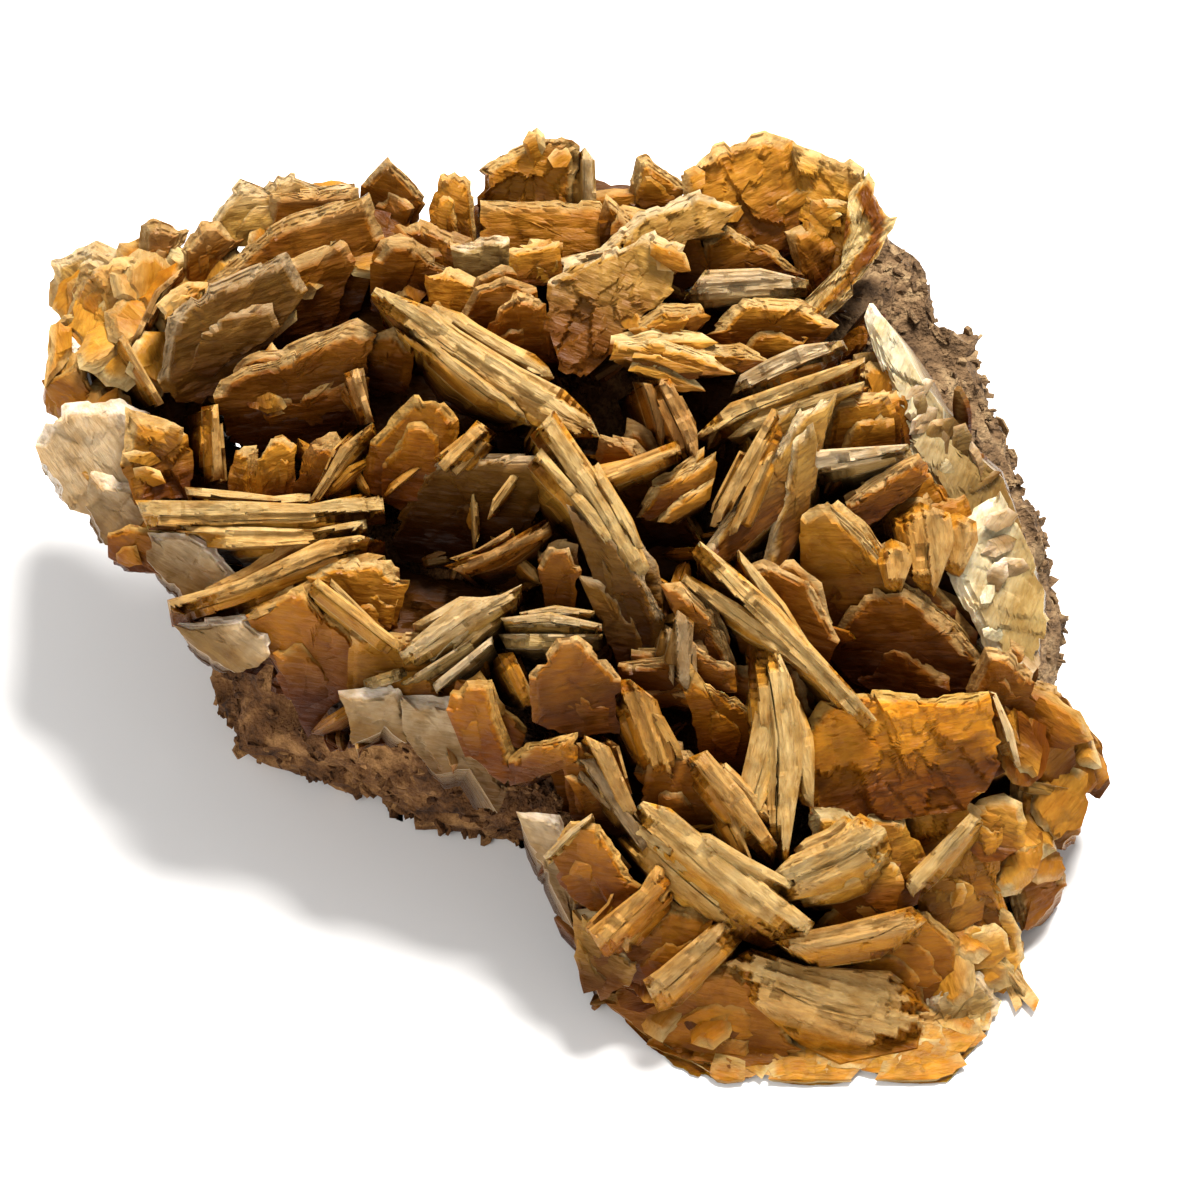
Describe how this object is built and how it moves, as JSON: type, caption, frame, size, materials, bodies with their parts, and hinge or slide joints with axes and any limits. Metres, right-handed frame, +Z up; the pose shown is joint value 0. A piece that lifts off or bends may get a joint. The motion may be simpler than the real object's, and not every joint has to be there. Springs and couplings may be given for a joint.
{
  "type": "barite specimen",
  "caption": "Hand specimen of bladed golden barite crystals grown together on brown matrix rock, lying on a flat cut base.",
  "frame": {"origin": "on the flat base, straight below the middle of the crystal face", "axes": "+Z up from the flat base; the crystal face looks along -Y and up; +X to the right as seen from the front"},
  "size_m": [0.1132, 0.0892, 0.06],
  "materials": {
    "matrix": "rough",
    "centre_blades": "glossy",
    "upper_left_plates": "glossy",
    "upper_right_cup": "glossy",
    "right_plates": "glossy",
    "left_rosette": "glossy",
    "lower_left_plates": "glossy",
    "lower_right_plates": "glossy",
    "top_plates": "glossy",
    "lower_left_rosette": "glossy"
  },
  "bodies": {
    "root": {"matrix": "matrix", "centre_blades": "centre_blades", "upper_left_plates": "upper_left_plates", "upper_right_cup": "upper_right_cup", "right_plates": "right_plates", "left_rosette": "left_rosette", "lower_left_plates": "lower_left_plates", "lower_right_plates": "lower_right_plates", "top_plates": "top_plates", "lower_left_rosette": "lower_left_rosette"}
  },
  "joints": []
}
